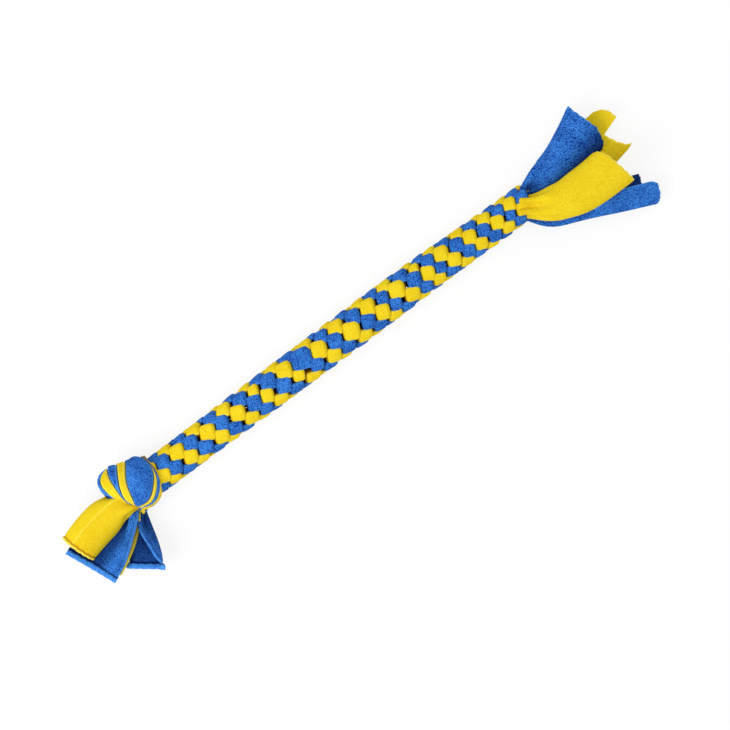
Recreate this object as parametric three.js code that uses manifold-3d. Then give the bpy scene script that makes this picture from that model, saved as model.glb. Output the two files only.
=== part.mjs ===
// Fleece tug toy: four cut strips, two yellow and two blue, worked into a round four-strand braid.
// One end is knotted and leaves four tails, the other end opens into four loose tassel ends.
// X runs along the braid towards the tassel, Z is up, and the toy lies on Z = 0.
// Millimetres. The origin is on the flat underside, where a strip crosses below the braid's middle.
import * as THREE from "three";
import { mergeVertices } from "three/addons/utils/BufferGeometryUtils.js";
import Module from "manifold-3d";

// Strips
const stripWidth = 58;
const sheetThickness = 3;
const stripGap = 0.4;

// Braid
const knotSideRadius = 19;
const middleRadius = 20.5;
const mouthSideRadius = 17.5;
const axisHeight = 17.5;
const braidStartX = -220;
const mouthX = 222.5;
const stretchCount = 7;
const hingePitch = 64;
const jointRadiusShare = 1.11;
const jointGap = 0.9;
const ringStep = 6.5;
// Where along the braid a strip crosses its top, and how many strips have crossed there so far.
const crossingShares = [
  [0.061, 0],
  [0.2665, 5],
  [0.3682, 8],
  [0.583, 13],
  [0.6755, 16],
  [0.757, 18],
  [0.8766, 22],
  [1.01, 26],
];
const radiusShares = [0, 0.45, 0.62, 0.8, 1];

// Knot
const coreRadius = 12.5;
const coreEndX = -252;
const coreEndY = -9;
const coreEndZ = 18.5;
const wrapClearance = 0.7;
const wrapWall = 1.6;
const knotNearX = -220;
const knotNearSlant = 9;
const knotExitX = -251.5;
const knotFarReach = 26;
const knotRadiusY = 28.5;
const knotRadiusZ = 26;
const knotCentreY = 3.5;
const knotCentreZ = 24.5;
const knotFarShiftY = 9;
const exitFlare = 7.5;
const shoulderLength = 3;
const turnAngle = 292.5;
const climbAngle = 67.5;
const climbCentre = 270;
const turnStep = 22.5;
// Shares of the knot's half that each strip shows, first turn and second turn.
const nearTurnShares = [0.11, 0.09, 0.11, 0.69];
const farTurnShares = [0.25, 0.25, 0.36, 0.14];

// How much smaller the knot is at its ends, how square its outline is and how its exit flares.
const knotEndShare = 0.42;
const knotSquareness = 2.6;
const flarePower = 0.6;

// Tails, which leave the knot one above the other
const tailPadRadius = 6;
const tailPadGap = 0.4;
const tailPadSpace = 1.6;
const tailExitZ = 1.4;
const tailLevel = 8.2;
const tailOffsetY = -3;
const blueBTailLength = 64;
const yellowATailLength = 74;
const blueATailLength = 77;
const yellowBTailLength = 73;
const tailGatherShare = 0.35;

// Tassel ends
const rootRadius = 6.5;
const rootGap = 0.3;
const yellowATasselLength = 130;
const blueATasselLength = 138;
const yellowBTasselLength = 113;
const blueBTasselLength = 108;
const tasselNotch = 15;
const tasselGatherShare = 0.3;

// A sheet's section: how near its round root comes to its own corners, and how thin its edges are.
const rootCornerShare = 0.97;
const edgeThinShare = 0.45;
// How far behind its hinge a loose end's rounded pad has its first rings.
const padRingShares = [0.94, 0.55];

const yellow = new THREE.Color(0.93, 0.8, 0.1);
const blue = new THREE.Color(0.17, 0.41, 0.78);
const fleece = { roughness: 0.95, metalness: 0 };

const quarterTurn = Math.PI / 2;
const halfLobe = quarterTurn / 2;
const degrees = Math.PI / 180;
const strips = [
  { name: "yellow_a", color: yellow },
  { name: "blue_a", color: blue },
  { name: "yellow_b", color: yellow },
  { name: "blue_b", color: blue },
];

const wasm = await Module();
wasm.setup();

// A table's value at a share, straight between its rows and on past its ends.
function along(table, share) {
  let k = 1;
  while (k < table.length - 1 && table[k][0] < share) k += 1;
  const [s0, v0] = table[k - 1];
  const [s1, v1] = table[k];
  return v0 + ((share - s0) / (s1 - s0)) * (v1 - v0);
}

function clamp01(value) {
  return Math.min(1, Math.max(0, value));
}

function easeBetween(low, high, value) {
  const t = clamp01((value - low) / (high - low));
  return t * t * (3 - 2 * t);
}

// A closed surface from points and triangles, turned so that its faces point out.
function closedSurface(points, triangles) {
  const geometry = new THREE.BufferGeometry().setFromPoints(points);
  let volume = 0;
  const cross = new THREE.Vector3();
  for (const [a, b, c] of triangles) {
    volume += points[a].dot(cross.crossVectors(points[b], points[c]));
  }
  const outward = volume > 0 ? triangles : triangles.map(([a, b, c]) => [a, c, b]);
  geometry.setIndex(outward.flat());
  return geometry;
}

// The triangles between two closed rings of the same number of points. Where two pieces lie side
// by side, one of them takes the other diagonal in the faces that the test names, so they match.
function bridge(first, second, count, triangles, turned = () => false) {
  for (let j = 0; j < count; j += 1) {
    const next = (j + 1) % count;
    const [p, q] = turned(j) ? [second + j, first + next] : [second + next, first + j];
    triangles.push([first + j, first + next, p], [q, second + next, second + j]);
  }
}

function solidFrom(geometry) {
  const bare = geometry.clone();
  bare.deleteAttribute("normal");
  bare.deleteAttribute("uv");
  const merged = mergeVertices(bare);
  return new wasm.Manifold(
    new wasm.Mesh({
      numProp: 3,
      vertProperties: merged.attributes.position.array,
      triVerts: new Uint32Array(merged.index.array),
    }),
  );
}

// What the toy rests on, cut away below it so that its underside is flat.
const groundSize = 4 * (mouthX - knotExitX);
const groundBlock = new THREE.BoxGeometry(groundSize, groundSize, groundSize);
groundBlock.translate(0, 0, -groundSize / 2);
const ground = solidFrom(groundBlock);

function flattened(geometry) {
  geometry.computeBoundingBox();
  if (geometry.boundingBox.min.z >= 0) return geometry;
  const cut = solidFrom(geometry).subtract(ground).getMesh();
  const flat = new THREE.BufferGeometry();
  const positions = [];
  for (let k = 0; k < cut.numVert; k += 1) {
    positions.push(...cut.vertProperties.subarray(k * cut.numProp, k * cut.numProp + 3));
  }
  flat.setAttribute("position", new THREE.Float32BufferAttribute(positions, 3));
  flat.setIndex([...cut.triVerts]);
  return flat;
}

const toy = new THREE.Group();

function addPiece(name, geometry, color) {
  const shown = flattened(geometry);
  shown.computeVertexNormals();
  const piece = new THREE.Mesh(shown, new THREE.MeshStandardMaterial({ color, ...fleece }));
  piece.name = name;
  toy.add(piece);
}

// Braid

const braidLength = mouthX - braidStartX;

// How far round the braid a strip has come, in radians from +Y by way of the top.
function stripAngle(strip, x) {
  const crossings = along(crossingShares, (x - braidStartX) / braidLength);
  return quarterTurn * (1 + crossings - strip);
}

function braidRadius(x) {
  const share = clamp01((x - braidStartX) / braidLength);
  const [atKnot, wideFrom, wideTo, narrowFrom, atMouth] = radiusShares;
  const widened = easeBetween(atKnot, wideFrom, share);
  const narrowed = easeBetween(wideTo, narrowFrom, share);
  const last = clamp01((share - narrowFrom) / (atMouth - narrowFrom));
  const narrowDrop = (middleRadius - mouthSideRadius) / 2;
  return knotSideRadius + (middleRadius - knotSideRadius) * widened - narrowDrop * (narrowed + last);
}

function knotNearFace(angle) {
  return knotNearX - (knotNearSlant * (1 - Math.cos(angle))) / 2;
}

function knotFarFace(angle) {
  return knotExitX - knotFarReach * Math.max(0, Math.cos(angle)) ** flarePower;
}

// The middle of the strips at x: straight in the braid, bent towards the exit in the knot.
function coreCentre(x) {
  const share = clamp01((knotNearX - x) / (knotNearX - coreEndX));
  const bend = share ** 2;
  return [coreEndY * bend, axisHeight + (coreEndZ - axisHeight) * bend];
}

// The strips' outer radius, drawn in where the knot's turns go round them.
function outerRadius(x, angle) {
  const from = knotNearFace(angle) + shoulderLength;
  const shoulder = clamp01((x - from) / shoulderLength);
  return coreRadius + (braidRadius(x) - coreRadius) * shoulder;
}

const middleStretch = (stretchCount - 1) / 2;
const hingeX = Array.from(
  { length: stretchCount - 1 },
  (_, k) => (k - middleStretch + 0.5) * hingePitch,
);

// The ball that a stretch ends in, so that the next one can turn on it.
function ballFace(hinge, gap) {
  const radius = braidRadius(hinge) * jointRadiusShare + gap;
  return (r) => hinge + Math.sqrt(radius ** 2 - r ** 2);
}

function flatFace(x) {
  return () => x;
}

// One strip of one stretch: a quarter of the braid's round, wound along it. A ring of points goes
// out along one wall, round the outer face and back along the other wall.
const rimPolarAngle = Math.asin(1 / jointRadiusShare);
const wallPoints = 3;
const wallShares = Array.from(
  { length: wallPoints },
  (_, k) => Math.sin((rimPolarAngle * (k + 1)) / (wallPoints + 1)) / Math.sin(rimPolarAngle),
);
const outerFractions = [-1, -0.5, 0, 0.5, 1];
const rimRounds = 8;

function quarterLobe(strip, startFace, endFace) {
  const points = [];
  const triangles = [];
  const apexRadius = stripGap / 2 / Math.sin(halfLobe);
  const rimOf = (face) => {
    let x = face(0);
    for (let k = 0; k < rimRounds; k += 1) x = face(outerRadius(x, Math.PI));
    return x;
  };
  const startRim = rimOf(startFace);
  const endRim = rimOf(endFace);
  const add = (share, radiusShare, fraction) => {
    const rimX = startRim + (endRim - startRim) * share;
    const rimAngle = stripAngle(strip, rimX) + fraction * halfLobe;
    const r = Math.max(apexRadius, radiusShare * outerRadius(rimX, rimAngle));
    const x = startFace(r) + (endFace(r) - startFace(r)) * share;
    const inset = r > apexRadius ? Math.asin(stripGap / 2 / r) : 0;
    const angle = stripAngle(strip, x) + fraction * (halfLobe - inset);
    const [y, z] = coreCentre(x);
    points.push(new THREE.Vector3(x, y + r * Math.cos(angle), z + r * Math.sin(angle)));
    return points.length - 1;
  };

  const steps = Math.max(2, Math.round((endRim - startRim) / ringStep));
  let shares = Array.from({ length: steps + 1 }, (_, k) => k / steps);
  if (startRim < knotNearX) {
    const from = knotNearX - knotNearSlant;
    const to = knotNearX + 2 * shoulderLength;
    const inShoulder = (share) => {
      const x = startRim + (endRim - startRim) * share;
      return x > from - shoulderLength / 2 && x < to + shoulderLength / 2;
    };
    shares = shares.filter((share) => !inShoulder(share));
    const count = Math.ceil((to - from) / shoulderLength);
    for (let k = 0; k <= count; k += 1) {
      shares.push((from + ((to - from) * k) / count - startRim) / (endRim - startRim));
    }
    shares.sort((a, b) => a - b);
  }

  const rim = outerFractions.length;
  const count = 1 + 2 * wallPoints + rim;
  for (const share of shares) {
    const first = add(share, 0, 0);
    wallShares.forEach((radiusShare) => add(share, radiusShare, -1));
    outerFractions.forEach((fraction) => add(share, 1, fraction));
    [...wallShares].reverse().forEach((radiusShare) => add(share, radiusShare, 1));
    if (first > 0) bridge(first - count, first, count, triangles, (j) => j > wallPoints);
  }

  const closeEnd = (first, share, flip) => {
    const circles = wallShares.map((radiusShare, k) => [
      first + 1 + k,
      ...outerFractions.slice(1, -1).map((fraction) => add(share, radiusShare, fraction)),
      first + count - 1 - k,
    ]);
    circles.push(outerFractions.map((_, j) => first + 1 + wallPoints + j));
    const list = [];
    for (let j = 0; j < rim - 1; j += 1) {
      list.push([first, circles[0][j], circles[0][j + 1]]);
      for (let c = 1; c < circles.length; c += 1) {
        const [inner, outer] = [circles[c - 1], circles[c]];
        list.push([inner[j], outer[j], outer[j + 1]], [inner[j], outer[j + 1], inner[j + 1]]);
      }
    }
    triangles.push(...list.map(([p, q, r]) => (flip ? [p, r, q] : [p, q, r])));
  };
  closeEnd(0, 0, true);
  closeEnd(count * (shares.length - 1), 1, false);
  return closedSurface(points, triangles);
}

for (let stretch = 0; stretch < stretchCount; stretch += 1) {
  const startFace = stretch === 0 ? flatFace(coreEndX) : ballFace(hingeX[stretch - 1], jointGap);
  const endFace = stretch === stretchCount - 1 ? flatFace(mouthX) : ballFace(hingeX[stretch], 0);
  strips.forEach(({ name, color }, strip) => {
    addPiece(`braid_${stretch + 1}_${name}`, quarterLobe(strip, startFace, endFace), color);
  });
}

// Knot: each strip goes round the others twice, first near the braid and then further out.

function knotOuter(x, angle) {
  const near = knotNearX;
  const far = knotExitX - knotFarReach;
  const u = clamp01((near - x) / (near - far));
  const bulge = Math.sqrt(1 - Math.abs(2 * u - 1) ** knotSquareness);
  const scale = knotEndShare + (1 - knotEndShare) * bulge;
  const [cy, cz] = coreCentre(x);
  const dy = cy - (knotCentreY + knotFarShiftY * u ** 2);
  const dz = cz - knotCentreZ;
  const ry = knotRadiusY * scale;
  const rz = knotRadiusZ * scale;
  const [dirY, dirZ] = [Math.cos(angle), Math.sin(angle)];
  const a = (dirY / ry) ** 2 + (dirZ / rz) ** 2;
  const b = (dy * dirY) / ry ** 2 + (dz * dirZ) / rz ** 2;
  const c = (dy / ry) ** 2 + (dz / rz) ** 2 - 1;
  const root = b ** 2 - a * c;
  const reach = root > 0 ? (Math.sqrt(root) - b) / a : 0;
  return Math.max(reach, knotInner(x) + wrapWall);
}

function knotInner(x) {
  const beyond = clamp01((coreEndX - x) / (coreEndX - knotExitX + knotFarReach));
  return coreRadius + wrapClearance + exitFlare * beyond ** flarePower;
}

function knotTurn(order) {
  const total = 2 * turnAngle + climbAngle;
  const steps = Math.round(total / turnStep);
  const points = [];
  const triangles = [];
  const sum = (shares) => shares.slice(0, order).reduce((a, b) => a + b, 0);
  const across = 6;
  for (let k = 0; k <= steps; k += 1) {
    const turned = (total * k) / steps;
    const angle = (climbCentre + climbAngle / 2 + turned) * degrees;
    const climb = easeBetween(turnAngle, turnAngle + climbAngle, turned);
    const share = (near, far) => near + (far - near) * climb;
    const from = (climb + sum(nearTurnShares) * (1 - climb) + sum(farTurnShares) * climb) / 2;
    const width = share(nearTurnShares[order], farTurnShares[order]) / 2;
    const nearFace = knotNearFace(angle);
    const span = nearFace - knotFarFace(angle);
    const place = (v) => nearFace - span * v;
    const nearX = place(from) - stripGap / 2;
    const farX = place(from + width) + stripGap / 2;
    const middleX = (nearX + farX) / 2;
    const put = (x, r) => {
      const [cy, cz] = coreCentre(x);
      points.push(new THREE.Vector3(x, cy + r * Math.cos(angle), cz + r * Math.sin(angle)));
    };
    put(nearX, knotInner(nearX));
    put(middleX, knotInner(middleX));
    put(farX, knotInner(farX));
    put(farX, knotOuter(farX, angle));
    put(middleX, knotOuter(middleX, angle));
    put(nearX, knotOuter(nearX, angle));
    if (k > 0) bridge((k - 1) * across, k * across, across, triangles, (j) => j === across - 1);
  }
  const end = steps * across;
  for (const [a, b, c] of [[0, 1, 4], [0, 4, 5], [1, 2, 3], [1, 3, 4]]) {
    triangles.push([a, c, b], [end + a, end + b, end + c]);
  }
  return closedSurface(points, triangles);
}

// The strips lie in the knot in this order from the braid outwards.
const knotOrder = [2, 1, 0, 3];
knotOrder.forEach((strip, order) => {
  addPiece(`knot_${strips[strip].name}`, knotTurn(order), strips[strip].color);
});

// Loose ends: a strip gathered at its root, opening into a curled sheet.

const lengthShares = [0, 0.09, 0.18, 0.3, 0.44, 0.58, 0.72, 0.86, 1];
const acrossSegments = 6;

// Each table below runs along the strip as [share of its length, value]. Headings and climbs are in
// degrees in the row's own plane, widths are shares of the strip's width, curls are how far the sheet's
// section bends in degrees, rolls turn that section about the strip.
function looseEnd({
  hinge,
  radius,
  height,
  length,
  headings,
  climbs,
  widthShares,
  curls,
  rolls,
  gatherShare,
  notch,
}) {
  const points = [];
  const triangles = [];
  const ringPoints = 2 * (acrossSegments + 1);
  const place = new THREE.Vector3();
  const direction = (share) => {
    const heading = along(headings, share) * degrees;
    const climb = along(climbs, share) * degrees;
    return new THREE.Vector3(
      Math.cos(heading) * Math.cos(climb),
      Math.sin(heading) * Math.cos(climb),
      Math.sin(climb),
    );
  };
  const up = new THREE.Vector3(0, 0, 1);
  const ring = (share, width, thickness, open, notchHere) => {
    const tangent = direction(Math.max(0, share));
    const side = new THREE.Vector3().crossVectors(up, tangent).normalize();
    const normal = new THREE.Vector3().crossVectors(tangent, side);
    const roll = along(rolls, Math.max(0, share)) * degrees;
    const curl = Math.max(1, along(curls, Math.max(0, share))) * degrees;
    const arc = width / curl;
    const mean = Math.sin(curl / 2) / (curl / 2);
    for (const face of [1, -1]) {
      for (let j = 0; j <= acrossSegments; j += 1) {
        const q = (face * (2 * j - acrossSegments)) / acrossSegments;
        const angle = (q * curl) / 2;
        const round = Math.sqrt(1 - (rootCornerShare * q) ** 2);
        const thin = thickness * (round + (1 - edgeThinShare * q ** 6 - round) * open);
        const r = arc + (face * thin) / 2;
        const sideways = r * Math.sin(angle);
        const raised = r * Math.cos(angle) - arc * mean;
        const point = place
          .clone()
          .addScaledVector(side, sideways * Math.cos(roll) - raised * Math.sin(roll))
          .addScaledVector(normal, sideways * Math.sin(roll) + raised * Math.cos(roll))
          .addScaledVector(tangent, -notchHere * (1 - Math.abs(q)));
        points.push(point);
      }
    }
    if (points.length > ringPoints) {
      bridge(points.length - 2 * ringPoints, points.length - ringPoints, ringPoints, triangles);
    }
  };
  for (const back of padRingShares) {
    const round = Math.sqrt(1 - back ** 2);
    place.copy(hinge).addScaledVector(direction(0), -back * radius);
    ring(0, 2 * radius * round, height * round, 0, 0);
  }
  place.copy(hinge);
  const substeps = 8;
  lengthShares.forEach((share, k) => {
    if (k > 0) {
      const before = lengthShares[k - 1];
      for (let s = 0; s < substeps; s += 1) {
        const middle = before + ((share - before) * (s + 0.5)) / substeps;
        place.addScaledVector(direction(middle), (length * (share - before)) / substeps);
      }
    }
    const open = easeBetween(0, gatherShare, share);
    const thickness = height + (sheetThickness - height) * open;
    ring(share, along(widthShares, share) * stripWidth, thickness, open, notch * share ** 4);
  });
  const cap = (first, flip) => {
    for (let j = 0; j < acrossSegments; j += 1) {
      const a = first + j;
      const b = first + j + 1;
      const c = first + ringPoints - 1 - j;
      const d = c - 1;
      const list = [
        [a, b, d],
        [a, d, c],
      ];
      for (const [p, q, r] of list) triangles.push(flip ? [p, r, q] : [p, q, r]);
    }
  };
  cap(0, true);
  cap(points.length - ringPoints, false);
  return closedSurface(points, triangles);
}

// Tails: the exit's pads share one upright axis, so each tail can swing over the one below it.
const tailAxisX = coreEndX - tailPadGap - tailPadRadius;
const tailAxisY = coreEndY + tailOffsetY;
const tailPadHeight = tailLevel - tailPadSpace;
const tailSpecs = [
  {
    strip: 3,
    level: 0,
    length: blueBTailLength,
    headings: [[0, 252], [1, 232]],
    climbs: [[0, -3], [1, 0]],
    widthShares: [[0, 0.2], [0.25, 0.3], [0.55, 0.48], [1, 0.68]],
    curls: [[0, 8], [1, 22]],
    rolls: [[0, 0], [1, 0]],
  },
  {
    strip: 0,
    level: 1,
    length: yellowATailLength,
    headings: [[0, 200], [1, 208]],
    climbs: [[0, -2], [1, -2]],
    widthShares: [[0, 0.2], [0.25, 0.38], [0.55, 0.64], [1, 0.86]],
    curls: [[0, 8], [1, 20]],
    rolls: [[0, 0], [1, 0]],
  },
  {
    strip: 1,
    level: 2,
    length: blueATailLength,
    headings: [[0, 190], [1, 204]],
    climbs: [[0, -2], [1, -2]],
    widthShares: [[0, 0.2], [0.25, 0.4], [0.55, 0.7], [1, 1]],
    curls: [[0, 8], [1, 26]],
    rolls: [[0, 180], [1, 180]],
  },
  {
    strip: 2,
    level: 3,
    length: yellowBTailLength,
    headings: [[0, 170], [1, 196]],
    climbs: [[0, 0], [1, 0]],
    widthShares: [[0, 0.2], [0.25, 0.42], [0.55, 0.68], [1, 0.74]],
    curls: [[0, 8], [0.4, 50], [1, 70]],
    rolls: [[0, 0], [1, 0]],
  },
];
for (const spec of tailSpecs) {
  const z = tailExitZ + (spec.level + 0.5) * tailLevel;
  const geometry = looseEnd({
    ...spec,
    hinge: new THREE.Vector3(tailAxisX, tailAxisY, z),
    radius: tailPadRadius,
    height: tailPadHeight,
    gatherShare: tailGatherShare,
    notch: 0,
  });
  addPiece(`tail_${strips[spec.strip].name}`, geometry, strips[spec.strip].color);
}

// Tassel ends: each leaves the mouth from the middle of its own strip, at the centre of the
// largest circle that fits in a quarter of the mouth.
const rootReach = mouthSideRadius / (1 + Math.SQRT1_2);
const rootX = mouthX + rootGap + rootRadius;
const tasselSpecs = [
  {
    strip: 0,
    length: yellowATasselLength,
    headings: [[0, 3], [1, 0]],
    climbs: [[0, -1], [1, -1]],
    widthShares: [[0, 0.22], [0.25, 0.4], [0.6, 0.68], [1, 0.86]],
    curls: [[0, 8], [1, 24]],
    rolls: [[0, 0], [1, 0]],
    notch: tasselNotch,
  },
  {
    strip: 1,
    length: blueATasselLength,
    headings: [[0, -50], [0.25, -28], [1, -22]],
    climbs: [[0, -28], [0.25, 0], [1, 0]],
    widthShares: [[0, 0.22], [0.3, 0.42], [0.6, 0.75], [1, 1]],
    curls: [[0, 8], [0.4, 150], [1, 235]],
    rolls: [[0, 90], [1, 105]],
    notch: 0,
  },
  {
    strip: 2,
    length: yellowBTasselLength,
    headings: [[0, -36], [0.3, -18], [1, -11]],
    climbs: [[0, 38], [0.25, 12], [1, 2]],
    widthShares: [[0, 0.22], [0.25, 0.55], [0.55, 0.86], [1, 0.84]],
    curls: [[0, 8], [1, 50]],
    rolls: [[0, 0], [1, 6]],
    notch: 0,
  },
  {
    strip: 3,
    length: blueBTasselLength,
    headings: [[0, 5], [0.5, 7], [1, 12]],
    climbs: [[0, 8], [1, 3]],
    widthShares: [[0, 0.22], [0.3, 0.44], [0.6, 0.66], [1, 1]],
    curls: [[0, 8], [1, 80]],
    rolls: [[0, -20], [1, -14]],
    notch: 0,
  },
];
for (const spec of tasselSpecs) {
  const angle = stripAngle(spec.strip, mouthX);
  const hinge = new THREE.Vector3(
    rootX,
    rootReach * Math.cos(angle),
    axisHeight + rootReach * Math.sin(angle),
  );
  const geometry = looseEnd({
    ...spec,
    hinge,
    radius: rootRadius,
    height: 2 * rootRadius,
    gatherShare: tasselGatherShare,
  });
  addPiece(`tassel_${strips[spec.strip].name}`, geometry, strips[spec.strip].color);
}

export default toy;
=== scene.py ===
"""Fleece tug toy: four cut strips in a round braid, a wrapped knot with four tails, four loose ends.

Metres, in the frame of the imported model: X along the braid towards the loose ends, Z up, the toy
lying on Z = 0. Every surface is a grid of points worked out with numpy.
"""

import logging
import math
from dataclasses import dataclass
from enum import Enum

import bpy
import numpy as np
from mathutils import Matrix, Vector


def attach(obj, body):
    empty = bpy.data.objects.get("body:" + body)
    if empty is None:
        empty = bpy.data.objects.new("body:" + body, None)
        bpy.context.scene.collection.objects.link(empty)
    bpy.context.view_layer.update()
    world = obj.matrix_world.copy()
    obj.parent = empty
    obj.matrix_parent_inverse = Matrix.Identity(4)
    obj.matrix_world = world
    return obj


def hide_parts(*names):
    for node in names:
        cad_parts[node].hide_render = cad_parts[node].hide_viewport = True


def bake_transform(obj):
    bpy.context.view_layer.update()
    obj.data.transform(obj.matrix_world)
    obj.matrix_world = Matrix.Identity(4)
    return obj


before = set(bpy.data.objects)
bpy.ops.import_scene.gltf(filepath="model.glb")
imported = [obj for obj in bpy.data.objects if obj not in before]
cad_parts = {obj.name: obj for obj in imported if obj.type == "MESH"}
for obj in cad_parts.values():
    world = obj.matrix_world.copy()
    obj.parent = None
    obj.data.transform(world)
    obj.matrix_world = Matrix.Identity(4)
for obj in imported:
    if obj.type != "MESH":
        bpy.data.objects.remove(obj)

log = logging.getLogger("tug_toy")
QUARTER = math.pi / 2
WHOLE_TURN = 2 * math.pi
HASH_STEP = 12.9898
HASH_SALT = 78.233
HASH_SPREAD = 43758.5453
TINY = 1e-12


class Strip(Enum):
    """The four fleece strips, in the order in which they cross the braid's top."""

    YELLOW_A = 0
    BLUE_A = 1
    YELLOW_B = 2
    BLUE_B = 3

    @property
    def label(self) -> str:
        """The strip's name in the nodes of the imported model."""
        return self.name.lower()

    @property
    def fleece(self) -> "Fleece":
        """The fleece that the strip is cut from."""
        return YELLOW if self in (Strip.YELLOW_A, Strip.YELLOW_B) else BLUE


class End(Enum):
    """The end of the toy that a strip hangs loose from."""

    TAIL = "tail"
    TASSEL = "tassel"


class Chance(Enum):
    """What differs slightly from pillow to pillow, each by numbers of its own."""

    SHIFT = 1.0
    SLIP = 2.0
    SIZE = 3.0
    SKEW = 4.0


# Shader maths


@dataclass(frozen=True)
class Value:
    """A shader socket that takes part in Python expressions, which add Math nodes."""

    sheet: "NodeSheet"
    socket: bpy.types.NodeSocket

    def _math(self, operation: str, *inputs: "Value | float") -> "Value":
        """One Math node on these inputs.

        Args:
            operation: the Math node's operation.
            inputs: values or numbers, in the order of its sockets.

        Returns:
            The node's result.
        """
        return self.sheet.add(
            "ShaderNodeMath", {"operation": operation}, dict(enumerate(inputs))
        )

    def __add__(self, other: "Value | float") -> "Value":
        """self + other."""
        return self._math("ADD", self, other)

    __radd__ = __add__

    def __sub__(self, other: "Value | float") -> "Value":
        """self - other."""
        return self._math("SUBTRACT", self, other)

    def __rsub__(self, other: "Value | float") -> "Value":
        """other - self."""
        return self._math("SUBTRACT", other, self)

    def __mul__(self, other: "Value | float") -> "Value":
        """self * other."""
        return self._math("MULTIPLY", self, other)

    __rmul__ = __mul__

    def clamped(self) -> "Value":
        """The value held between 0 and 1."""
        return self._math("MINIMUM", self._math("MAXIMUM", self, 0.0), 1.0)


@dataclass
class NodeSheet:
    """A material's node tree, to which nodes are added by type, settings and socket values."""

    tree: bpy.types.NodeTree

    def add(
        self,
        kind: str,
        settings: dict[str, object] | None = None,
        inputs: dict[str | int, object] | None = None,
        output: str | int = 0,
    ) -> Value | None:
        """Adds one node.

        Args:
            kind: the node's type.
            settings: its properties, which are set first. "stops" fills a colour ramp.
            inputs: a value, number or colour for each named or numbered socket.
            output: the socket to hand back.

        Returns:
            That output as a Value, or None for a node that has none.
        """
        node = self.tree.nodes.new(kind)
        for name, setting in (settings or {}).items():
            if name == "stops":
                stops = node.color_ramp.elements
                given_stops = [stops[0], stops[1], *(stops.new(0.5) for _ in setting[2:])]
                for element, (place, colour) in zip(given_stops, setting):
                    element.position = place
                    element.color = (*colour, 1.0)
            else:
                setattr(node, name, setting)
        for name, given in (inputs or {}).items():
            if isinstance(given, Value):
                self.tree.links.new(given.socket, node.inputs[name])
            else:
                node.inputs[name].default_value = given
        return Value(self, node.outputs[output]) if node.outputs else None

    def mixed(self, factor: Value, first: object, second: object) -> Value:
        """Two colours mixed.

        Args:
            factor: how much of the second shows.
            first: a colour, as a Value or four numbers.
            second: a colour, as a Value or four numbers.

        Returns:
            The mixed colour.
        """
        sockets = {0: factor, 6: first, 7: second}
        return self.add("ShaderNodeMix", {"data_type": "RGBA"}, sockets, 2)


# The two fleeces


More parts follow.
